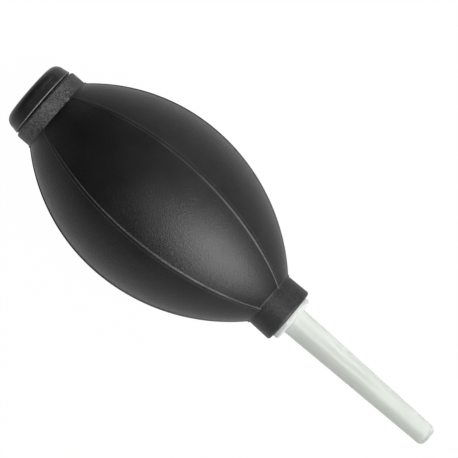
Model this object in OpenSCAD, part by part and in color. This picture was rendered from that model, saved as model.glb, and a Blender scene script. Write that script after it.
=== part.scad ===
// Squeeze-bulb dust blower, lying on one panel of its bulb with the nozzle towards +X.
// Origin under the middle of the whole length, on the surface that the bulb rests on. Millimetres.

/* [Bulb] */
// Width of the bulb over two opposite ribs
bulb_w = 58.4; // [46:0.2:71]
// Length of the bulb between its two collars
bulb_len = 86.8; // [70:0.2:106]
// Distance from the rear collar to the widest section
belly_at = 40.6; // [32:0.2:50]
// Thickness of the rubber wall at the middle of a panel
bulb_wall = 2.5; // [1.6:0.1:3.4]
// Number of panels, with a rib along each join between two
panel_count = 6; // [6:2:8]
// Depth of the flat in the middle of each panel, at the widest section, which the blower lies on
panel_flat = 0.65; // [0.3:0.05:1]
// Width of a rib
rib_w = 1.1; // [0.8:0.1:2]
// Height of a rib above the panel edges
rib_h = 0.35; // [0.2:0.05:0.6]

/* [Collars] */
// Outside diameter of the rear collar
rear_collar_d = 26.2; // [24:0.1:32]
// Length of the rear collar
rear_collar_len = 5.7; // [4.5:0.1:8]
// Wall of the rear collar round the intake valve
rear_neck_wall = 3.6; // [2.6:0.1:4.2]
// Outside diameter of the front collar where it meets the bulb
front_collar_d = 18.7; // [16.6:0.1:24]
// Growth of the front collar's radius towards its end
front_flare = 0.2; // [0:0.05:0.5]
// Length of the front collar
front_collar_len = 8.8; // [7:0.1:12]
// Wall of the front collar round the nozzle bush
front_neck_wall = 3.85; // [3:0.05:4]
// Radius of the rounded edge at the open end of each collar
collar_round = 0.8; // [0.4:0.1:1.2]

/* [Intake cap] */
// How far the cap's rim lies inside the edge of the rear collar
cap_inset = 0.6; // [0.1:0.05:1]
// Length of the cap
cap_len = 5.5; // [5:0.1:8]
// Growth of the cap's radius from its rounded corner to its rim
cap_draft = 0.4; // [0.2:0.05:0.8]
// Radius of the cap's rounded corner
cap_round = 3.2; // [2.4:0.1:3.6]
// Thickness of the cap's end wall
cap_wall = 1.8; // [1.4:0.1:2.2]
// Wall of the cap's skirt
skirt_wall = 1.95; // [1.4:0.05:2.2]
// Open gap between the cap's rim and the rear collar
cap_gap = 0.4; // [0.2:0.05:0.8]
// Diameter of one inlet hole
inlet_d = 2; // [1.2:0.1:2.4]
// Number of inlet holes around the middle one
inlet_count = 6; // [4:1:8]
// Diameter of the circle that the inlet holes stand on
inlet_ring_d = 8; // [7:0.1:9]

/* [Intake valve] */
// Thickness of the dust filter
filter_t = 0.6; // [0.4:0.1:0.8]
// Room round the filter inside the cap's skirt
filter_inset = 1.6; // [1.2:0.1:2]
// Wall of the valve body's nose, which presses on the filter
nose_wall = 1.4; // [1:0.1:1.8]
// Thickness of the valve body's flange behind the cap
valve_flange_t = 1.6; // [1.2:0.1:2]
// Length of the valve body's plug inside the rear collar
valve_plug_len = 8.6; // [8:0.1:12]
// Wall of the valve body's plug
valve_plug_wall = 1.8; // [1.4:0.1:2]
// Thickness of the wall that holds the valve seat
seat_wall = 1.4; // [1:0.1:2]
// Diameter of the air port through the seat
port_d = 6; // [4:0.1:7.4]
// Width of the raised lip that the disc seals on
lip_w = 0.7; // [0.5:0.1:1]
// Height of that lip
lip_h = 0.5; // [0.3:0.1:0.8]
// How far the valve disc reaches past its lip
disc_overlap = 2.3; // [1.6:0.1:2.6]
// Thickness of the valve disc
disc_t = 1; // [0.8:0.1:1.4]
// How far the valve disc lifts off its lip
disc_lift = 1.5; // [1:0.1:1.8]
// Wall of the cage's ring
cage_wall = 1.3; // [1:0.1:1.6]
// Length of the cage
cage_len = 2.6; // [2:0.1:3.2]
// Width of the cage's bars
bar_w = 1.6; // [1.2:0.1:2]
// Thickness of the cage's bars
bar_t = 1.2; // [0.8:0.1:1.6]
// Number of guides that keep the disc on the port
guide_count = 4; // [3:1:6]
// Thickness of one guide
guide_w = 0.9; // [0.7:0.1:1.4]

/* [Nozzle] */
// How far the bush's flange lies inside the edge of the front collar
flange_inset = 1.85; // [1.2:0.05:2.4]
// Thickness of the bush's flange
flange_t = 1.9; // [1.5:0.1:2.5]
// Rounding of the flange's edge
flange_round = 0.8; // [0.4:0.1:1]
// Length of the bush inside the front collar and bulb
bush_len = 15; // [12:0.1:18]
// Wall of the bush
bush_wall = 1.4; // [1:0.1:1.6]
// Length of the tube in front of the flange
tube_len = 55.9; // [40:0.1:80]
// Height of the tube's shoulder, which stops it on the flange
tube_shoulder = 0.65; // [0.4:0.05:1]
// Diameter of the tube near its tip
tube_tip_d = 7.1; // [6.6:0.1:8]
// Rounding of the tube's tip
tip_round = 1.9; // [1:0.1:2.2]
// How much shorter the tube's plug is than the bush's bore
plug_short = 2.9; // [1:0.1:5]
// Wall of the tube's plug
tube_plug_wall = 1.5; // [1.2:0.1:1.8]
// Diameter of the air outlet at the tip
outlet_d = 2.6; // [1.6:0.1:3]
// Length of the straight outlet
outlet_len = 5; // [3:0.5:8]

/* [Fits] */
// Radial clearance between pieces that push into each other
fit_gap = 0.05; // [0.02:0.01:0.1]
// Depth of the grooves between the barbs on the two plugs
barb_depth = 0.35; // [0.2:0.05:0.5]
// Distance from one barb to the next
barb_pitch = 2.6; // [2:0.1:3.5]
// Length of the level top of each barb
barb_top = 0.4; // [0.3:0.1:0.8]
// Clearance round the loose valve disc
disc_gap = 0.3; // [0.2:0.05:0.5]

/* [Hidden] */
$fn = 96;
arc_fn = 240; // facets of the bulb's long arcs
turn_fn = 180; // facets round the bulb
cut = 1; // how far a cutting shape runs past the face that it opens
skin = 0.02; // how far one shape stays inside another where their faces would coincide

// places along the axis, from the cap's end face
collar_z = cap_len + cap_gap;
bulb_z = collar_z + rear_collar_len;
belly_z = bulb_z + belly_at;
front_z = bulb_z + bulb_len;
flange_z = front_z + front_collar_len;
tube_z = flange_z + flange_t;
total_len = tube_z + tube_len;
front_run = bulb_len - belly_at;

// distances from the axis to the ribs, the panels and their flats at the belly, and to the collars
half_panel = 180 / panel_count;
rib_r = bulb_w / 2;
panel_r = rib_r - rib_h;
flat_r = panel_r - panel_flat;
rear_r = rear_collar_d / 2;
front_r = front_collar_d / 2;
panel_rear_r = rear_r - rib_h;
panel_front_r = front_r - rib_h;

// the intake, from the cap inwards
cap_r = rear_r - cap_inset;
cap_flat_r = cap_r - cap_draft - cap_round;
cap_bore_r = cap_r - skirt_wall;
valve_flange_r = cap_bore_r - fit_gap;
valve_flange_z = collar_z - valve_flange_t;
filter_r = cap_bore_r - filter_inset;
filter_z = cap_wall + fit_gap;
valve_nose_z = filter_z + filter_t + fit_gap;
rear_bore_r = rear_r - rear_neck_wall;
valve_plug_r = rear_bore_r - fit_gap;
valve_bore_r = valve_plug_r - valve_plug_wall;
valve_end_z = collar_z + valve_plug_len;
seat_z = valve_flange_z + seat_wall;
lip_z = seat_z + lip_h;
lip_r = port_d / 2 + lip_w;
disc_r = lip_r + disc_overlap;
disc_z = lip_z + fit_gap;
cage_z = disc_z + disc_t + disc_lift + fit_gap;
cage_r = valve_bore_r - fit_gap;
guide_r = disc_r + disc_gap;
guide_len = cage_z - fit_gap - seat_z;

// the nozzle, from the collar's bore inwards
front_bore_r = front_r - front_neck_wall;
flange_r = front_r + front_flare - flange_inset;
bush_r = front_bore_r - fit_gap;
bush_z = flange_z - bush_len;
bush_bore_r = bush_r - bush_wall;
tube_plug_r = bush_bore_r - fit_gap;
tube_plug_len = bush_len + flange_t - plug_short;
tube_plug_z = tube_z - tube_plug_len;
tube_base_r = tube_plug_r + tube_shoulder;
tube_bore_r = tube_plug_r - tube_plug_wall;
tip_r = tube_tip_d / 2;
tip_z = total_len - tip_round;

// radius of an arc that starts level and falls by drop over run
function arc_radius(run, drop) = (run ^ 2 + drop ^ 2) / (2 * drop);

// Puts a piece, drawn along +Z from the cap's end face, in place on its side
module lay_down() {
    translate([-total_len / 2, 0, flat_r]) rotate([0, 90, 0]) children();
}

// Half of a lengthwise section: from the axis out to reach at y = 0, on an arc of this radius, over run
module arc_slice(reach, radius, run) {
    intersection() {
        translate([reach - radius, 0]) circle(r = radius, $fn = arc_fn);
        square([reach, run]);
    }
}

// The whole half section of a body with the given radii at its belly and its two ends.
// inset moves the arcs inwards by that thickness
module bulb_slice(belly, rear, front, inset = 0) {
    rear_arc = arc_radius(belly_at, belly - rear);
    front_arc = arc_radius(front_run, belly - front);
    mirror([0, 1]) arc_slice(belly - inset, rear_arc - inset, belly_at);
    arc_slice(belly - inset, front_arc - inset, front_run);
}

// A solid on the axis with its outer corner rounded at the top
module rounded_disc(r, h, round_r) {
    rotate_extrude() {
        square([r - round_r, h]);
        square([r, h - round_r]);
        intersection() {
            translate([r - round_r, h - round_r]) circle(r = round_r);
            square([r, h]);
        }
    }
}

// Grooves that leave barbs along a plug of radius r, between two heights
module barb_grooves(r, z0, z1) {
    count = floor((z1 - z0) / barb_pitch);
    for (i = [0 : count - 1])
        translate([0, 0, z0 + i * barb_pitch]) rotate_extrude()
            polygon([[r - barb_depth, 0], [r + cut, 0], [r + cut, barb_pitch - barb_top],
                [r, barb_pitch - barb_top]]);
}

// The rounded panels, each with a flat in its middle
module panels() {
    intersection() {
        translate([0, 0, belly_z]) rotate_extrude($fn = turn_fn)
            bulb_slice(panel_r, panel_rear_r, panel_front_r);
        translate([0, 0, bulb_z - cut]) linear_extrude(bulb_len + 2 * cut)
            polygon([for (i = [0 : panel_count - 1])
                flat_r / cos(half_panel) * [cos((2 * i + 1) * half_panel), sin((2 * i + 1) * half_panel)]]);
    }
}

module ribs() {
    for (i = [0 : panel_count / 2 - 1])
        rotate([0, 0, (i + 0.5) * 360 / panel_count]) translate([0, 0, belly_z])
            rotate([90, 0, 0]) linear_extrude(rib_w, center = true)
                for (side = [0, 1])
                    mirror([side, 0]) bulb_slice(rib_r, rear_r, front_r);
}

module collars() {
    translate([0, 0, bulb_z + cut]) mirror([0, 0, 1])
        rounded_disc(rear_r, rear_collar_len + cut, collar_round);
    translate([0, 0, front_z]) {
        cylinder(h = front_collar_len - collar_round, r1 = front_r, r2 = front_r + front_flare);
        rounded_disc(front_r + front_flare - skin, front_collar_len, collar_round);
    }
}

module air_chamber() {
    translate([0, 0, belly_z]) rotate_extrude($fn = turn_fn)
        bulb_slice(flat_r, panel_rear_r, panel_front_r, inset = bulb_wall);
}

module bulb() {
    color([0.1, 0.1, 0.1]) lay_down() difference() {
        union() {
            panels();
            ribs();
            collars();
        }
        air_chamber();
        translate([0, 0, collar_z - cut])
            cylinder(h = rear_collar_len + bulb_wall + 2 * cut, r = rear_bore_r);
        translate([0, 0, bush_z])
            cylinder(h = bush_len + cut, r = front_bore_r);
    }
}

module cap_outline() {
    square([cap_flat_r, cap_len]);
    translate([cap_flat_r, cap_round]) circle(r = cap_round);
    polygon([[0, cap_round], [cap_flat_r + cap_round, cap_round], [cap_r, cap_len],
        [0, cap_len]]);
}

module intake_cap() {
    color([0.07, 0.07, 0.07]) lay_down() difference() {
        rotate_extrude() intersection() {
            cap_outline();
            square([cap_r, cap_len]);
        }
        translate([0, 0, cap_wall]) cylinder(h = cap_len, r = cap_bore_r);
        translate([0, 0, -cut]) cylinder(h = cap_wall + 2 * cut, d = inlet_d);
        for (i = [0 : inlet_count - 1])
            rotate([0, 0, i * 360 / inlet_count]) translate([inlet_ring_d / 2, 0, -cut])
                cylinder(h = cap_wall + 2 * cut, d = inlet_d);
    }
}

module intake_filter() {
    color("white") lay_down() translate([0, 0, filter_z]) cylinder(h = filter_t, r = filter_r);
}

module valve_body() {
    color([0.2, 0.2, 0.2]) lay_down() {
        difference() {
            union() {
                translate([0, 0, valve_nose_z])
                    cylinder(h = valve_flange_z - valve_nose_z + cut, r = filter_r);
                translate([0, 0, valve_flange_z]) cylinder(h = valve_flange_t, r = valve_flange_r);
                translate([0, 0, valve_flange_z])
                    cylinder(h = valve_end_z - valve_flange_z, r = valve_plug_r);
            }
            translate([0, 0, valve_nose_z - cut])
                cylinder(h = valve_flange_z - valve_nose_z + cut, r = filter_r - nose_wall);
            translate([0, 0, seat_z]) cylinder(h = valve_end_z, r = valve_bore_r);
            translate([0, 0, valve_nose_z]) cylinder(h = valve_end_z, d = port_d);
            barb_grooves(valve_plug_r, collar_z + cut, valve_end_z);
        }
        translate([0, 0, seat_z]) difference() {
            cylinder(h = lip_h, r = lip_r);
            translate([0, 0, -cut]) cylinder(h = lip_h + 2 * cut, d = port_d);
        }
        guides();
    }
}

// Ribs inside the valve body, from its wall in to just clear of the disc
module guides() {
    for (i = [0 : guide_count - 1])
        rotate([0, 0, i * 360 / guide_count])
            translate([guide_r, -guide_w / 2, seat_z])
                cube([valve_bore_r - guide_r + valve_plug_wall / 2, guide_w, guide_len]);
}

module valve_disc() {
    color([0.45, 0.45, 0.45]) lay_down() translate([0, 0, disc_z]) cylinder(h = disc_t, r = disc_r);
}

module valve_cage() {
    color([0.3, 0.3, 0.3]) lay_down() translate([0, 0, cage_z]) {
        difference() {
            cylinder(h = cage_len, r = cage_r);
            translate([0, 0, -cut]) cylinder(h = cage_len + 2 * cut, r = cage_r - cage_wall);
        }
        intersection() {
            cylinder(h = bar_t, r = cage_r - cage_wall / 2);
            union() for (turn = [0, 90])
                rotate([0, 0, turn]) translate([-cage_r, -bar_w / 2, 0]) cube([2 * cage_r, bar_w, bar_t]);
        }
    }
}

module nozzle_bush() {
    color([0.93, 0.93, 0.9]) lay_down() difference() {
        union() {
            translate([0, 0, flange_z]) rounded_disc(flange_r, flange_t, flange_round);
            translate([0, 0, bush_z]) cylinder(h = bush_len + cut, r = bush_r);
        }
        translate([0, 0, bush_z - cut]) cylinder(h = total_len, r = bush_bore_r);
        barb_grooves(bush_r, bush_z + barb_pitch, flange_z - cut);
    }
}

module nozzle_tube() {
    color([0.8, 0.84, 0.8]) lay_down() difference() {
        union() {
            translate([0, 0, tube_plug_z]) cylinder(h = tube_plug_len + cut, r = tube_plug_r);
            translate([0, 0, tube_z])
                cylinder(h = tube_len - tip_round, r1 = tube_base_r, r2 = tip_r);
            translate([0, 0, tip_z - cut]) rounded_disc(tip_r, tip_round + cut, tip_round);
        }
        translate([0, 0, tube_plug_z])
            cylinder(h = total_len - outlet_len - tube_plug_z, r1 = tube_bore_r, r2 = outlet_d / 2);
        translate([0, 0, tube_plug_z - cut]) cylinder(h = 2 * cut, r = tube_bore_r);
        translate([0, 0, total_len - outlet_len]) cylinder(h = outlet_len + cut, d = outlet_d);
    }
}

bulb();
intake_cap();
intake_filter();
valve_body();
valve_disc();
valve_cage();
nozzle_bush();
nozzle_tube();
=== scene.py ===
import math

import bmesh
import bpy
import numpy as np
from mathutils import Matrix, Vector


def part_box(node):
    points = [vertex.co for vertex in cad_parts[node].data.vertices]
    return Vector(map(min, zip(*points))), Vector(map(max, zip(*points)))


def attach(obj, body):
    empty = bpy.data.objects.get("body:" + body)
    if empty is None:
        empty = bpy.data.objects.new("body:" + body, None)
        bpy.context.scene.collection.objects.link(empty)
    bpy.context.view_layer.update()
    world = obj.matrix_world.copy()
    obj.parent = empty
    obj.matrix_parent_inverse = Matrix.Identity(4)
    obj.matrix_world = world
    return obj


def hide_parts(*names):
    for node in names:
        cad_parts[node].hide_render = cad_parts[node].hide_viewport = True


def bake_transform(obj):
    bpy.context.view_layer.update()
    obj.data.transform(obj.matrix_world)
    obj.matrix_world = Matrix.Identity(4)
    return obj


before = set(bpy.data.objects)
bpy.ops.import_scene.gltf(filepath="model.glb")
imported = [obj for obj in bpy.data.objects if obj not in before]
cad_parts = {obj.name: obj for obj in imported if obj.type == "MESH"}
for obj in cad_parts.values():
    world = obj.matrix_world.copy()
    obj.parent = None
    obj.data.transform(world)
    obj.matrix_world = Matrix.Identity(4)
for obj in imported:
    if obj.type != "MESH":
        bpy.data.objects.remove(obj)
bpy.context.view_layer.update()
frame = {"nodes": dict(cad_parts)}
mm = 0.001
nextRow = 1 * mm  # the row of points after an edge stands this far past it

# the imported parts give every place: the blower's axis runs along X at this height
capLow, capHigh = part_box("intake_cap")
bulbLow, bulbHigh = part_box("bulb")
bushLow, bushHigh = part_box("nozzle_bush")
tubeLow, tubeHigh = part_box("nozzle_tube")
axisZ = (bulbLow.z + bulbHigh.z) / 2
print("blower: frame loaded")


# a mesh from points and quads, with doubled points merged at poles and its faces turned outwards;
# marks are named values, one for each point, that a material can read
def makePiece(name, points, quads, sharpDeg=40, **marks):
    mesh = bpy.data.meshes.new(name)
    mesh.from_pydata(points.tolist(), [], quads.tolist())
    for mark, values in marks.items():
        mesh.attributes.new(mark, "FLOAT", "POINT").data.foreach_set("value", values.ravel())
    build = bmesh.new()
    build.from_mesh(mesh)
    bmesh.ops.remove_doubles(build, verts=build.verts, dist=1e-7)
    if build.calc_volume(signed=True) < 0:
        bmesh.ops.reverse_faces(build, faces=build.faces)
    build.to_mesh(mesh)
    build.free()
    mesh.polygons.foreach_set("use_smooth", [True] * len(mesh.polygons))
    mesh.set_sharp_from_angle(angle=math.radians(sharpDeg))
    return addObject(name, mesh)


# puts new data into the scene as an object at the origin
def addObject(name, data):
    made = bpy.data.objects.new(name, data)
    bpy.context.scene.collection.objects.link(made)
    return made


# quads that join each row of a grid to the next and wrap round its columns; rows wrap too on a loop
def gridQuads(rows, columns, loop):
    i, j = np.meshgrid(np.arange(rows if loop else rows - 1), np.arange(columns), indexing="ij")
    downI, nextJ = (i + 1) % rows, (j + 1) % columns
    corners = (i * columns + j, downI * columns + j, downI * columns + nextJ, i * columns + nextJ)
    return np.stack([corner.ravel() for corner in corners], axis=1)


# points (along, out, turn) round the axis, with turn 0 straight down and a quarter turn towards +Y
def roundAxis(along, out, turn):
    return np.stack([along, out * np.sin(turn), axisZ - out * np.cos(turn)], axis=-1).reshape(-1, 3)


# an outline of (along, out) points carried once round the axis: a loop gives a ring-shaped solid,
# and an open outline starts and ends on the axis
def turnedPiece(name, outline, loop, columns=128):
    along, out = np.array(outline).T
    turn = np.linspace(0, 2 * np.pi, columns, endpoint=False)
    points = roundAxis(np.tile(along[:, None], columns), out[:, None] * np.ones(columns),
                       np.tile(turn, (len(out), 1)))
    return makePiece(name, points, gridQuads(len(out), columns, loop))


# points on a circle's arc in (along, out), with 0 degrees along +X and 90 degrees outwards
def arc(centre, radius, fromDeg, toDeg, count=8):
    a = np.radians(np.linspace(fromDeg, toDeg, count))
    return np.stack([centre[0] + radius * np.cos(a), centre[1] + radius * np.sin(a)], axis=1)


# 0 before low, 1 after high, and a smooth S between
def smoothStep(value, low, high):
    t = np.clip((value - low) / (high - low), 0, 1)
    return t * t * (3 - 2 * t)


bulb = {
    "rearCollar": 5.7 * mm, "frontCollar": 8.8 * mm, "bellyAt": 40.6 * mm,
    "rearRadius": 13.1 * mm, "frontRadius": 9.35 * mm, "frontFlare": 0.2 * mm,
    "rearBore": 9.5 * mm, "frontBore": 5.5 * mm, "wall": 2.5 * mm,
    "edgeRound": 0.8 * mm, "lipRound": 0.3 * mm,
    "panels": 6, "panelFlat": 0.65 * mm, "flatFade": 16 * mm,
    "ribHeight": 0.35 * mm, "ribWide": 1.15 * mm, "ribNarrow": 0.85 * mm, "ribEdge": 0.13 * mm,
    "ribOverlap": 0.5 * mm, "ribEnd": 0.12 * mm, "creaseRadius": 0.12 * mm,
    "rearMouth": 2.2 * mm, "frontMouth": 0.6 * mm, "panelDrop": 0.4 * mm,
    # the lighter lines along the rib edges and the front crease are painted highlights, with some wear,
    # stronger towards the nozzle
    "edgeLineWidth": 0.11 * mm, "rearLineStrength": 0.35, "creaseLineStrength": 0.45,
    "frontPaleness": 0.3, "ribPaleness": 0.4, "paleEdge": 0.1 * mm,
    "dark": (0.002, 0.002, 0.0021), "light": (0.0045, 0.0045, 0.0048), "dust": (0.018, 0.018, 0.018),
    "collarDark": (0.013, 0.013, 0.013), "collarLight": (0.053, 0.053, 0.055),
    "wornColour": (0.075, 0.075, 0.077), "gloss": 0.24, "rough": (0.40, 0.45), "collarRougher": 0.08,
}

# columns over each rib stand at these distances from its middle
nearRib = np.array([0, 0.2, 0.34, 0.42, 0.48, 0.54, 0.6, 0.68, 0.9, 1.3]) * mm


# an arc that starts level at the belly and has fallen by drop after run has this radius
def arcRadius(run, drop):
    return (run ** 2 + drop ** 2) / (2 * drop)


# radius of the panels' edges: one arc behind the belly and another in front, level where they meet
def bulbRadius(x, belly, bellyRadius, rearX, rearRadius, frontX, frontRadius, inset=0.0):
    rearArc = arcRadius(belly - rearX, bellyRadius - rearRadius)
    frontArc = arcRadius(frontX - belly, bellyRadius - frontRadius)
    radius = np.where(x < belly, rearArc, frontArc)
    return bellyRadius - radius + np.sqrt((radius - inset) ** 2 - (x - belly) ** 2)


# the bulb: its outline runs from the rear bore over the panels to the front bore and back inside, and
# each point of it becomes a ring, drawn in over the middle of each panel and raised over each rib
def makeBulb():
    b = bulb
    rearX, frontX = bulbLow.x + b["rearCollar"], bulbHigh.x - b["frontCollar"]
    belly = rearX + b["bellyAt"]
    edgeRadius = bulbHigh.y - b["ribHeight"]
    shape = (belly, edgeRadius, rearX, b["rearRadius"], frontX, b["frontRadius"])
    endRadius = b["frontRadius"] + b["frontFlare"]
    lip, rounding, crease = b["lipRound"], b["edgeRound"], b["creaseRadius"]
    near, far = 0.7 * mm, 1.2 * mm  # rows stand close together up to near from a crease

    # the outside, from the rear bore over the panels to the front bore
    outsideX = belly + np.concatenate([
        np.sin(np.linspace(-1, 0, 60)[1:-1] * np.pi / 2) * (belly - rearX),
        np.sin(np.linspace(0, 1, 66)[:-1] * np.pi / 2) * (frontX - belly)])
    outside = np.concatenate([
        arc((bulbLow.x + lip, b["rearBore"] + lip), lip, 270, 180, 4),
        arc((bulbLow.x + rounding, b["rearRadius"] - rounding), rounding, 180, 90, 9),
        np.linspace((bulbLow.x + far, b["rearRadius"]), (rearX - 0.8 * mm, b["rearRadius"]), 8),
        np.linspace((rearX - near, b["rearRadius"]), (rearX - crease, b["rearRadius"]), 7),
        np.stack([outsideX, bulbRadius(outsideX, *shape)], axis=1),
        np.linspace((frontX + crease, b["frontRadius"]), (frontX + near, b["frontRadius"]), 7),
        np.linspace((frontX + nextRow, b["frontRadius"] + 0.02 * mm),
                    (bulbHigh.x - far, endRadius), 10),
        arc((bulbHigh.x - rounding, endRadius - rounding), rounding, 90, 0, 9),
        arc((bulbHigh.x - lip, b["frontBore"] + lip), lip, 0, -90, 4)])

    # the inside, back through the air chamber, which keeps one wall thickness below the panels' middles
    middle = edgeRadius - b["panelFlat"]
    rearMouth, frontMouth = rearX + b["rearMouth"], frontX - b["frontMouth"]
    insideX = np.linspace(frontMouth, rearMouth, 70)
    insideR = bulbRadius(insideX, belly, middle, rearX, b["rearRadius"] - b["panelDrop"], frontX,
                         b["frontRadius"] - b["panelDrop"], b["wall"])
    insideR = np.maximum(insideR, np.where(insideX < belly, b["rearBore"], b["frontBore"]))
    inside = np.concatenate([
        np.linspace((bulbHigh.x - 2 * nextRow, b["frontBore"]),
                    (frontMouth + nextRow, b["frontBore"]), 4),
        np.stack([insideX, insideR], axis=1),
        np.linspace((rearMouth - nextRow, b["rearBore"]), (bulbLow.x + nextRow, b["rearBore"]), 4)])

    along, out = np.concatenate([outside, inside]).T
    fade = b["flatFade"]
    onPanels = smoothStep(along, rearX, rearX + fade) * smoothStep(-along, -frontX, fade - frontX)
    isOutside = np.arange(len(along)) < len(outside)
    flat = np.where(isOutside, onPanels, 0)
    overlap, end = b["ribOverlap"], b["ribEnd"]
    ribHere = smoothStep(along, rearX - overlap - end, rearX - overlap) \
        * smoothStep(-along, -frontX - overlap - end, -frontX - overlap)
    ribHere = np.where(isOutside, ribHere, 0)

    # columns stand close together over each rib, at fixed distances from its middle, and evenly between
    sector = np.pi / b["panels"]
    spread = np.linspace(0, 1, 10)[1:]
    size = out[:, None]
    close = nearRib[None, :] / size
    offset = np.concatenate([close, close[:, -1:] + (sector - close[:, -1:]) * spread], axis=1)
    distance = offset * size
    ribWidth = b["ribNarrow"] + (b["ribWide"] - b["ribNarrow"]) * smoothStep(out, 9 * mm, 24 * mm)
    half = ribWidth[:, None] / 2
    rib = 1 - smoothStep(distance, half - b["ribEdge"], half + b["ribEdge"])

    # a panel's section is an arc of its own, flatter than the circle through its two edges: its centre
    # is shifted across the axis, and its distance from the axis is the positive root at each angle
    shift = (edgeRadius ** 2 - middle ** 2) / (2 * (middle - edgeRadius * math.cos(sector)))
    fromMiddle = sector - offset
    root = np.sqrt((middle + shift) ** 2 - (shift * np.sin(fromMiddle)) ** 2)
    share = (root - shift * np.cos(fromMiddle)) / edgeRadius
    radius = size * (1 - flat[:, None] * (1 - share)) + b["ribHeight"] * ribHere[:, None] * rib

    # the marks: the first paints lighter lines along the edges of the ribs, stronger towards the
    # nozzle, and at the front crease, as painted highlights with some wear; collar is 1 on the rear
    # collar and less on the front one
    fromEdge = np.abs(distance - half) / b["edgeLineWidth"]
    onCrease = np.exp(-((along - frontX) / b["edgeLineWidth"]) ** 2) * isOutside
    forward = b["rearLineStrength"] + (1 - b["rearLineStrength"]) * smoothStep(along, rearX, frontX)
    worn = np.maximum(np.exp(-fromEdge ** 2) * (ribHere * forward)[:, None],
                      b["creaseLineStrength"] * onCrease[:, None])
    onCollars = np.where(along < belly, 1 - smoothStep(along, rearX - b["paleEdge"], rearX),
                         b["frontPaleness"] * smoothStep(along, frontX, frontX + b["paleEdge"]))
    collar = (onCollars * isOutside)[:, None] * (1 - (1 - b["ribPaleness"]) * ribHere[:, None] * rib)

    # one half sector mirrored and repeated round the axis
    def allRound(values, sign=1):
        whole = np.concatenate([sign * values[:, ::-1], values[:, 1:]], axis=1)
        return np.tile(whole[:, 1:], b["panels"])

    columns = 2 * (offset.shape[1] - 1)
    turn = allRound(offset, -1) + np.repeat(sector * (1 + 2 * np.arange(b["panels"])), columns)
    points = roundAxis(np.tile(along[:, None], turn.shape[1]), allRound(radius), turn)
    piece = makePiece("rubberBulb", points, gridQuads(len(along), turn.shape[1], True), 60,
                      worn=allRound(worn), collar=allRound(collar))
    return piece, rearX, frontX


cap = {
    "wall": 1.8 * mm, "round": 3.2 * mm, "draft": 0.4 * mm, "bore": 10.55 * mm, "rimChamfer": 0.22 * mm,
    # the paler line at the rim's edge is a painted highlight
    "insideRound": 0.5 * mm, "rimHighlightStart": 0.45 * mm, "rimHighlightEnd": 0.25 * mm,
    "holeRadius": 1 * mm, "holeRing": 4 * mm, "holes": 6, "holeChamfer": 0.18 * mm,
    "dark": (0.007, 0.007, 0.0074), "light": (0.011, 0.011, 0.0115), "rimHighlight": (0.12, 0.12, 0.122),
    "gloss": 0.23, "rough": (0.34, 0.42),
}


# the cap: an outline with an arc at its corner, turned round the axis and then drilled
def makeCap():
    c = cap
    rim = capHigh.z - axisZ
    flat = rim - c["draft"] - c["round"]
    corner = flat + c["round"]
    edge, inside = c["rimChamfer"], c["insideRound"]
    outline = np.concatenate([
        np.linspace((capLow.x, 0), (capLow.x, flat * 0.98), 6),
        arc((capLow.x + c["round"], flat), c["round"], 180, 90, 14),
        np.linspace((capLow.x + c["round"] + 0.2 * mm, corner + 0.04 * mm), (capHigh.x - edge, rim), 4),
        [(capHigh.x, rim - edge), (capHigh.x, c["bore"] + edge), (capHigh.x - edge, c["bore"])],
        arc((capLow.x + c["wall"] + inside, c["bore"] - inside), inside, 90, 180, 5),
        np.linspace((capLow.x + c["wall"], flat), (capLow.x + c["wall"], 0), 5)])
    piece = turnedPiece("intakeCapShell", outline, False)
    ring = [(c["holeRing"], 2 * math.pi * i / c["holes"]) for i in range(c["holes"])]
    for out, turn in [(0, 0), *ring]:
        drillHole(piece, out, turn)
    return piece


# cuts one inlet hole through the cap's end wall, with a small chamfer at its outer edge; the cutter
# runs past both faces of the wall
def drillHole(piece, out, turn):
    c = cap
    r, edge, past = c["holeRadius"], c["holeChamfer"], nextRow
    outline = np.array([(-past, 0), (-past, r + edge + past), (edge, r), (c["wall"] + past, r),
                        (c["wall"] + past, 0)])
    outline[:, 0] += capLow.x
    cutter = turnedPiece("cutter", outline, False, 32)
    cutter.data.transform(Matrix.Translation((0, out * math.sin(turn), -out * math.cos(turn))))
    cut = piece.modifiers.new("hole", "BOOLEAN")
    cut.object = cutter
    cut.operation = "DIFFERENCE"
    cut.solver = "EXACT"
    depsgraph = bpy.context.evaluated_depsgraph_get()
    mesh = bpy.data.meshes.new_from_object(piece.evaluated_get(depsgraph))
    piece.modifiers.clear()
    piece.data = mesh
    removeSlivers(mesh)
    mesh.set_sharp_from_angle(angle=math.radians(40))
    bpy.data.objects.remove(cutter)


# the cut leaves edges of almost no length, and faces of many sides
def removeSlivers(mesh):
    build = bmesh.new()
    build.from_mesh(mesh)
    bmesh.ops.dissolve_degenerate(build, edges=build.edges, dist=0.005 * mm)
    bmesh.ops.triangulate(build, faces=[face for face in build.faces if len(face.verts) > 4])
    build.to_mesh(mesh)
    build.free()


bush = {
    "flange": 1.9 * mm, "flangeRound": 0.8 * mm, "bore": 4.05 * mm, "shank": 5.45 * mm,
    "barbDepth": 0.35 * mm, "barbPitch": 2.6 * mm, "barbTop": 0.4 * mm, "barbs": 4, "mouth": 0.35 * mm,
    "boreChamfer": 0.2 * mm, "shankChamfer": 0.4 * mm, "backChamfer": 0.2 * mm,
    "dark": (0.54, 0.56, 0.54), "light": (0.59, 0.605, 0.59), "rough": (0.3, 0.4), "milkiness": 0.4,
}


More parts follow.
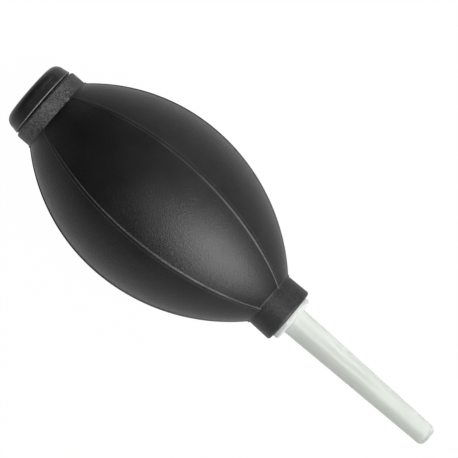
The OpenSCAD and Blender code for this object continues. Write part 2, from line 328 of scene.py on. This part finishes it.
# the bush: a closed outline turned round the axis, whose barbs are steps that slope back up to the
# shank
def makeBush():
    b = bush
    faceX = bushHigh.x - b["flange"]
    rim = bushHigh.z - axisZ
    rounding = b["flangeRound"]
    barbs = []
    for i in range(b["barbs"]):
        start = bushLow.x + b["barbPitch"] * (i + 1)
        barbs += [(start, b["shank"]), (start + 0.01 * mm, b["shank"] - b["barbDepth"]),
                  (start + b["barbPitch"] - b["barbTop"], b["shank"])]
    mouth, boreEdge = b["mouth"], b["boreChamfer"]
    shankEdge, backEdge = b["shankChamfer"], b["backChamfer"]
    outline = np.concatenate([
        [(bushLow.x, b["bore"] + boreEdge), (bushLow.x, b["shank"] - shankEdge),
         (bushLow.x + shankEdge, b["shank"])],
        barbs,
        [(faceX, b["shank"]), (faceX, rim - backEdge), (faceX + backEdge, rim)],
        arc((bushHigh.x - rounding, rim - rounding), rounding, 90, 0, 10),
        arc((bushHigh.x - mouth, b["bore"] + mouth), mouth, 0, -90, 5),
        np.linspace((bushHigh.x - nextRow, b["bore"]), (bushLow.x + boreEdge, b["bore"]), 6)])
    return turnedPiece("nozzleBush", outline, True)


tube = {
    "base": 4.65 * mm, "tip": 3.55 * mm, "tipRound": 1.9 * mm, "plug": 4 * mm, "plugLength": 14 * mm,
    "bore": 2.5 * mm, "outlet": 1.3 * mm, "outletLength": 5 * mm, "outletEdge": 0.25 * mm,
    "boreChamfer": 0.15 * mm, "shoulderChamfer": 0.15 * mm,
    # the tip's darker colour is painted shade
    "leadLength": 0.6 * mm, "leadDepth": 0.5 * mm, "tipShadeStart": 1.7 * mm, "tipShadeEnd": 0.5 * mm,
    "dark": (0.54, 0.575, 0.535), "light": (0.57, 0.6, 0.56), "tipShade": (0.36, 0.39, 0.36),
    "gloss": 0.4, "rough": (0.17, 0.22), "milkiness": 0.6,
}


# the tube: a closed outline turned round the axis, in a straight taper from its base to its rounded tip
def makeTube():
    t = tube
    stepX = tubeLow.x + t["plugLength"]
    roundX = tubeHigh.x - t["tipRound"]
    edge, boreEdge, stepEdge = t["outletEdge"], t["boreChamfer"], t["shoulderChamfer"]
    outletX = tubeHigh.x - t["outletLength"]
    outline = np.concatenate([
        [(tubeLow.x, t["bore"] + boreEdge), (tubeLow.x, t["plug"] - t["leadDepth"]),
         (tubeLow.x + t["leadLength"], t["plug"])],
        np.linspace((tubeLow.x + 3 * mm, t["plug"]), (stepX - 0.3 * mm, t["plug"]), 5),
        [(stepX, t["plug"]), (stepX, t["base"] - stepEdge), (stepX + stepEdge, t["base"])],
        np.linspace((stepX + nextRow, t["base"] - 0.02 * mm), (roundX - 0.5 * mm, t["tip"]), 40),
        arc((roundX, t["tip"] - t["tipRound"]), t["tipRound"], 90, 6, 14),
        arc((tubeHigh.x - edge, t["outlet"] + edge), edge, 0, -90, 5),
        np.linspace((tubeHigh.x - nextRow, t["outlet"]), (outletX, t["outlet"]), 5),
        np.linspace((outletX - nextRow, t["outlet"]), (tubeLow.x + boreEdge, t["bore"]), 30)])
    return turnedPiece("nozzleTube", outline, True)


# a material with its shader's plain values set, and its node tree, shader and position node to build on
def startMaterial(name, **values):
    material = bpy.data.materials.new(name)
    material.use_nodes = True
    nodes = material.node_tree.nodes
    shader = nodes["Principled BSDF"]
    for socket, value in values.items():
        shader.inputs[socket.replace("_", " ")].default_value = value
    place = nodes.new("ShaderNodeTexCoord")
    return material, material.node_tree, shader, place


# noise whose features are about this size in metres, on the piece's own place
def addNoise(tree, place, size, detail=3.0, roughness=0.55, stretch=(1, 1, 1)):
    mapping = tree.nodes.new("ShaderNodeMapping")
    mapping.inputs["Scale"].default_value = stretch
    tree.links.new(place.outputs["Object"], mapping.inputs["Vector"])
    noise = tree.nodes.new("ShaderNodeTexNoise")
    noise.inputs["Scale"].default_value = 1 / size
    noise.inputs["Detail"].default_value = detail
    noise.inputs["Roughness"].default_value = roughness
    tree.links.new(mapping.outputs["Vector"], noise.inputs["Vector"])
    return noise.outputs["Fac"]


# turns a 0 to 1 pattern into a value between low and high, from the pattern's fromLow to fromHigh
def spreadValue(tree, pattern, low, high, fromLow=0.3, fromHigh=0.7):
    scale = tree.nodes.new("ShaderNodeMapRange")
    ends = {"From Min": fromLow, "From Max": fromHigh, "To Min": low, "To Max": high}
    for socket, value in ends.items():
        scale.inputs[socket].default_value = value
    tree.links.new(pattern, scale.inputs["Value"])
    return scale.outputs["Result"]


# blends two colours, each a plain one or another node's, by a 0 to 1 pattern
def mixColours(tree, pattern, first, second):
    mix = tree.nodes.new("ShaderNodeMix")
    mix.data_type = "RGBA"
    for socket, colour in ((mix.inputs[6], first), (mix.inputs[7], second)):
        if isinstance(colour, tuple):
            socket.default_value = (*colour, 1)
        else:
            tree.links.new(colour, socket)
    tree.links.new(pattern, mix.inputs[0])
    return mix.outputs[2]


# each layer is a pattern, its depth and its strength
def addBumps(tree, shader, *layers):
    normal = None
    for pattern, depth, strength in layers:
        bump = tree.nodes.new("ShaderNodeBump")
        bump.inputs["Distance"].default_value = depth
        bump.inputs["Strength"].default_value = strength
        tree.links.new(pattern, bump.inputs["Height"])
        if normal is not None:
            tree.links.new(normal, bump.inputs["Normal"])
        normal = bump.outputs["Normal"]
    tree.links.new(normal, shader.inputs["Normal"])


# a named mark of the piece's own mesh
def readMark(tree, mark):
    read = tree.nodes.new("ShaderNodeAttribute")
    read.attribute_name = mark
    return read.outputs["Fac"]


# adds or multiplies two values, each a number or another node's
def combine(tree, operation, first, second):
    node = tree.nodes.new("ShaderNodeMath")
    node.operation = operation
    for socket, value in zip(node.inputs, (first, second)):
        if isinstance(value, float):
            socket.default_value = value
        else:
            tree.links.new(value, socket)
    return node.outputs["Value"]


# the place along the blower's axis
def alongAxis(tree, place):
    split = tree.nodes.new("ShaderNodeSeparateXYZ")
    tree.links.new(place.outputs["Object"], split.inputs["Vector"])
    return split.outputs["X"]


# matt moulded rubber: speckled and paler on the collars, with lighter lines along the ribs' edges that
# are painted highlights with some wear
def rubberMaterial():
    b = bulb
    material, tree, shader, place = startMaterial("bulbRubber", Specular_IOR_Level=b["gloss"])
    grain = addNoise(tree, place, 0.5 * mm, 3.0)
    fine = addNoise(tree, place, 0.26 * mm, 2.0)
    cloud = addNoise(tree, place, 9 * mm, 4.0)
    collar, worn = readMark(tree, "collar"), readMark(tree, "worn")
    panels = mixColours(tree, spreadValue(tree, cloud, 0, 1), b["dark"], b["light"])
    dust = spreadValue(tree, fine, 0, 0.5, 0.55, 0.75)
    panels = mixColours(tree, dust, panels, b["dust"])
    speckle = spreadValue(tree, grain, 0, 1, 0.38, 0.64)
    collars = mixColours(tree, speckle, b["collarDark"], b["collarLight"])
    colour = mixColours(tree, collar, panels, collars)
    # lighter lines along the rib edges and the front crease: painted highlights, with some wear
    wearAndHighlightAmount = combine(tree, "MULTIPLY", worn, spreadValue(tree, cloud, 0.35, 0.9))
    colour = mixColours(tree, wearAndHighlightAmount, colour, b["wornColour"])
    tree.links.new(colour, shader.inputs["Base Color"])
    rougher = combine(tree, "MULTIPLY", collar, b["collarRougher"])
    rough = combine(tree, "ADD", spreadValue(tree, cloud, *b["rough"]), rougher)
    tree.links.new(rough, shader.inputs["Roughness"])
    addBumps(tree, shader, (grain, 0.1 * mm, 0.7), (fine, 0.09 * mm, 1.0))
    return material


# satin plastic with a painted highlight, a paler line along its rim's edge
def capMaterial():
    c = cap
    material, tree, shader, place = startMaterial("capPlastic", Specular_IOR_Level=c["gloss"])
    grain = addNoise(tree, place, 0.3 * mm, 2.0)
    cloud = addNoise(tree, place, 5 * mm, 3.0)
    # a painted highlight: a paler line along the rim's chamfered edge
    rim = spreadValue(tree, alongAxis(tree, place), 0, 0.8, capHigh.x - c["rimHighlightStart"],
                      capHigh.x - c["rimHighlightEnd"])
    colour = mixColours(tree, spreadValue(tree, cloud, 0, 1), c["dark"], c["light"])
    colour = mixColours(tree, rim, colour, c["rimHighlight"])
    tree.links.new(colour, shader.inputs["Base Color"])
    tree.links.new(spreadValue(tree, cloud, *c["rough"]), shader.inputs["Roughness"])
    addBumps(tree, shader, (grain, 0.04 * mm, 0.35))
    return material


# milky plastic, with painted shade darkening its tip
def tubeMaterial():
    t = tube
    material, tree, shader, place = startMaterial(
        "tubePlastic", Specular_IOR_Level=t["gloss"], Subsurface_Weight=t["milkiness"],
        Subsurface_Scale=2 * mm, Subsurface_Radius=(1, 1, 0.9), IOR=1.45)
    cloud = addNoise(tree, place, 12 * mm, 2.0, 0.5, (0.4, 1, 1))
    fine = addNoise(tree, place, 0.9 * mm, 2.0, 0.5, (0.25, 1, 1))
    colour = mixColours(tree, spreadValue(tree, cloud, 0, 1), t["dark"], t["light"])
    # painted shade, darker towards the tip
    tip = spreadValue(tree, alongAxis(tree, place), 0, 1, tubeHigh.x - t["tipShadeStart"],
                      tubeHigh.x - t["tipShadeEnd"])
    colour = mixColours(tree, tip, colour, t["tipShade"])
    tree.links.new(colour, shader.inputs["Base Color"])
    tree.links.new(spreadValue(tree, cloud, *t["rough"]), shader.inputs["Roughness"])
    addBumps(tree, shader, (fine, 0.01 * mm, 0.1))
    return material


# white plastic, a little less milky than the tube
def bushMaterial():
    b = bush
    material, tree, shader, place = startMaterial(
        "bushPlastic", Subsurface_Weight=b["milkiness"], Subsurface_Scale=2 * mm,
        Subsurface_Radius=(1, 1, 0.9), IOR=1.45)
    cloud = addNoise(tree, place, 6 * mm, 2.0)
    fine = addNoise(tree, place, 0.4 * mm, 2.0)
    colour = mixColours(tree, spreadValue(tree, cloud, 0, 1), b["dark"], b["light"])
    tree.links.new(colour, shader.inputs["Base Color"])
    tree.links.new(spreadValue(tree, cloud, *b["rough"]), shader.inputs["Roughness"])
    addBumps(tree, shader, (fine, 0.02 * mm, 0.2))
    return material


felt = {"dark": (0.72, 0.72, 0.69), "light": (0.86, 0.86, 0.83), "rough": (0.85, 0.98), "sheen": 0.4}


# pressed felt, with fibres that lie both ways
def feltMaterial():
    material, tree, shader, place = startMaterial("filterFelt", Sheen_Weight=felt["sheen"])
    fibres = addNoise(tree, place, 0.25 * mm, 4.0, 0.6, (1, 0.25, 1))
    crossed = addNoise(tree, place, 0.25 * mm, 4.0, 0.6, (1, 1, 0.25))
    colour = mixColours(tree, spreadValue(tree, fibres, 0, 1), felt["dark"], felt["light"])
    tree.links.new(colour, shader.inputs["Base Color"])
    tree.links.new(spreadValue(tree, crossed, *felt["rough"]), shader.inputs["Roughness"])
    addBumps(tree, shader, (fibres, 0.1 * mm, 0.6), (crossed, 0.1 * mm, 0.6))
    return material


valve = {
    "valvePlastic": {"dark": (0.03, 0.03, 0.032), "light": (0.05, 0.05, 0.053), "rough": (0.38, 0.48)},
    "discRubber": {"dark": (0.15, 0.15, 0.155), "light": (0.22, 0.22, 0.23), "rough": (0.5, 0.6)},
}


# the valve's plain plastic or rubber, between two colours and two roughnesses
def valveMaterial(name):
    v = valve[name]
    material, tree, shader, place = startMaterial(name)
    cloud = addNoise(tree, place, 4 * mm, 3.0)
    grain = addNoise(tree, place, 0.25 * mm, 2.0)
    colour = mixColours(tree, spreadValue(tree, cloud, 0, 1), v["dark"], v["light"])
    tree.links.new(colour, shader.inputs["Base Color"])
    tree.links.new(spreadValue(tree, cloud, *v["rough"]), shader.inputs["Roughness"])
    addBumps(tree, shader, (grain, 0.03 * mm, 0.3))
    return material


# gives a piece one material
def dress(piece, material):
    piece.data.materials.clear()
    piece.data.materials.append(material)


rubberBulb, rearCrease, frontCrease = makeBulb()
dress(rubberBulb, rubberMaterial())
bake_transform(rubberBulb)
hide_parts("bulb")
print("blower: bulb made")

capShell = makeCap()
dress(capShell, capMaterial())
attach(capShell, "bulb")
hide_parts("intake_cap")

bushPiece = makeBush()
dress(bushPiece, bushMaterial())
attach(bushPiece, "front")
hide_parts("nozzle_bush")

tubePiece = makeTube()
dress(tubePiece, tubeMaterial())
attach(tubePiece, "nozzle")
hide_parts("nozzle_tube")
print("blower: cap, bush and tube made")

valvePlastic = valveMaterial("valvePlastic")
nodes = frame["nodes"]
dress(nodes["intake_filter"], feltMaterial())
dress(nodes["valve_body"], valvePlastic)
dress(nodes["valve_cage"], valvePlastic)
dress(nodes["valve_disc"], valveMaterial("discRubber"))
print("blower: intake valve dressed")

studio = {
    "floorSize": 3.0, "floorDrop": 0.1 * mm, "lightsAway": 0.9,
    "tableGlow": 0.985, "floorGlow": 0.42, "tableRadius": 0.13, "glowEnd": 0.7,
    "paperDark": (0.03, 0.03, 0.03), "paperLight": (0.04, 0.04, 0.04),
    "roomSide": 0.4, "roomTop": 0.02, "horizonLow": 0.02, "horizonHigh": 0.35,
    "cameraAway": 1.1, "viewWidth": 143.1 * mm, "sensor": 36,
    "axisTiltDeg": 41, "bulbTurnDeg": 2.3, "aimX": -7.4 * mm, "aimSide": 8.3 * mm,
}


# pale paper, lit from below like a light table under the blower, which fades into the floor round it
def makeFloor():
    bpy.ops.mesh.primitive_plane_add(size=studio["floorSize"], location=(0, 0, -studio["floorDrop"]))
    floor = bpy.context.object
    floor.name = "studioFloor"
    material, tree, shader, place = startMaterial(
        "floorPaper", Roughness=0.9, Specular_IOR_Level=0.1, Emission_Color=(1, 1, 1, 1))
    reach = tree.nodes.new("ShaderNodeVectorMath")
    reach.operation = "LENGTH"
    tree.links.new(place.outputs["Object"], reach.inputs[0])
    glow = spreadValue(tree, reach.outputs["Value"], studio["tableGlow"], studio["floorGlow"],
                       studio["tableRadius"], studio["glowEnd"])
    tree.links.new(glow, shader.inputs["Emission Strength"])
    cloud = addNoise(tree, place, 200 * mm)
    colour = mixColours(tree, cloud, studio["paperDark"], studio["paperLight"])
    tree.links.new(colour, shader.inputs["Base Color"])
    floor.data.materials.append(material)


# lean is a light's angle from straight up, turn is its compass angle from +X towards +Y, and size is
# its width and its height
lights = {
    "keyLight": {"leanDeg": 45, "turnDeg": -3, "size": (0.46, 0.46), "watts": 23},
    "nozzleLight": {"leanDeg": 42, "turnDeg": 4, "size": (0.46, 0.46), "watts": 7.5},
    "topLight": {"leanDeg": 13, "turnDeg": -3, "size": (0.45, 0.4), "watts": 2.4},
    "bandLight": {"leanDeg": 60, "turnDeg": 90, "size": (0.8, 0.03), "watts": 2.0},
}


# a soft light turned to the bulb, which lights only the given pieces, if there are any
def addLight(name, *pieces):
    values = lights[name]
    data = bpy.data.lights.new(name, "AREA")
    data.shape = "RECTANGLE"
    data.size, data.size_y = values["size"]
    data.energy = values["watts"]
    light = addObject(name, data)
    lean, turn = math.radians(values["leanDeg"]), math.radians(values["turnDeg"])
    towards = Vector((math.sin(lean) * math.cos(turn), math.sin(lean) * math.sin(turn), math.cos(lean)))
    light.location = Vector((0, 0, axisZ)) + towards * studio["lightsAway"]
    light.rotation_euler = towards.to_track_quat("Z", "Y").to_euler()
    if pieces:
        lit = bpy.data.collections.new(name)
        for piece in pieces:
            lit.objects.link(piece)
        light.light_linking.receiver_collection = lit


# the room is bright round the horizon and dark overhead
def makeRoom():
    world = bpy.data.worlds.new("studioRoom")
    bpy.context.scene.world = world
    world.use_nodes = True
    tree = world.node_tree
    place = tree.nodes.new("ShaderNodeTexCoord")
    split = tree.nodes.new("ShaderNodeSeparateXYZ")
    tree.links.new(place.outputs["Generated"], split.inputs["Vector"])
    strength = spreadValue(tree, split.outputs["Z"], studio["roomSide"], studio["roomTop"],
                           studio["horizonLow"], studio["horizonHigh"])
    tree.links.new(strength, tree.nodes["Background"].inputs["Strength"])
    tree.nodes["Background"].inputs["Color"].default_value = (1, 1, 1, 1)


# the camera looks down on the blower, turned so that the axis runs from upper left to lower right
def makeCamera():
    s = studio
    data = bpy.data.cameras.new("camera")
    data.sensor_width = s["sensor"]
    data.lens = s["sensor"] * s["cameraAway"] / s["viewWidth"]
    camera = addObject("camera", data)
    turn, tilt = math.radians(s["axisTiltDeg"]), math.radians(s["bulbTurnDeg"])
    back = Vector((0, -math.sin(tilt), math.cos(tilt)))
    side = Vector((0, math.cos(tilt), math.sin(tilt)))
    along = Vector((1, 0, 0))
    right = along * math.cos(turn) + side * math.sin(turn)
    up = side * math.cos(turn) - along * math.sin(turn)
    aim = Vector((s["aimX"], 0, axisZ)) + side * s["aimSide"]
    place = Matrix((right, up, back)).transposed().to_4x4()
    place.translation = aim + back * s["cameraAway"]
    camera.matrix_world = place
    bpy.context.scene.camera = camera


makeFloor()
makeRoom()
addLight("keyLight", rubberBulb, capShell)
addLight("nozzleLight", bushPiece, tubePiece)
addLight("topLight")
addLight("bandLight")
makeCamera()
bpy.context.scene.view_settings.view_transform = "Standard"
print("blower: studio ready")
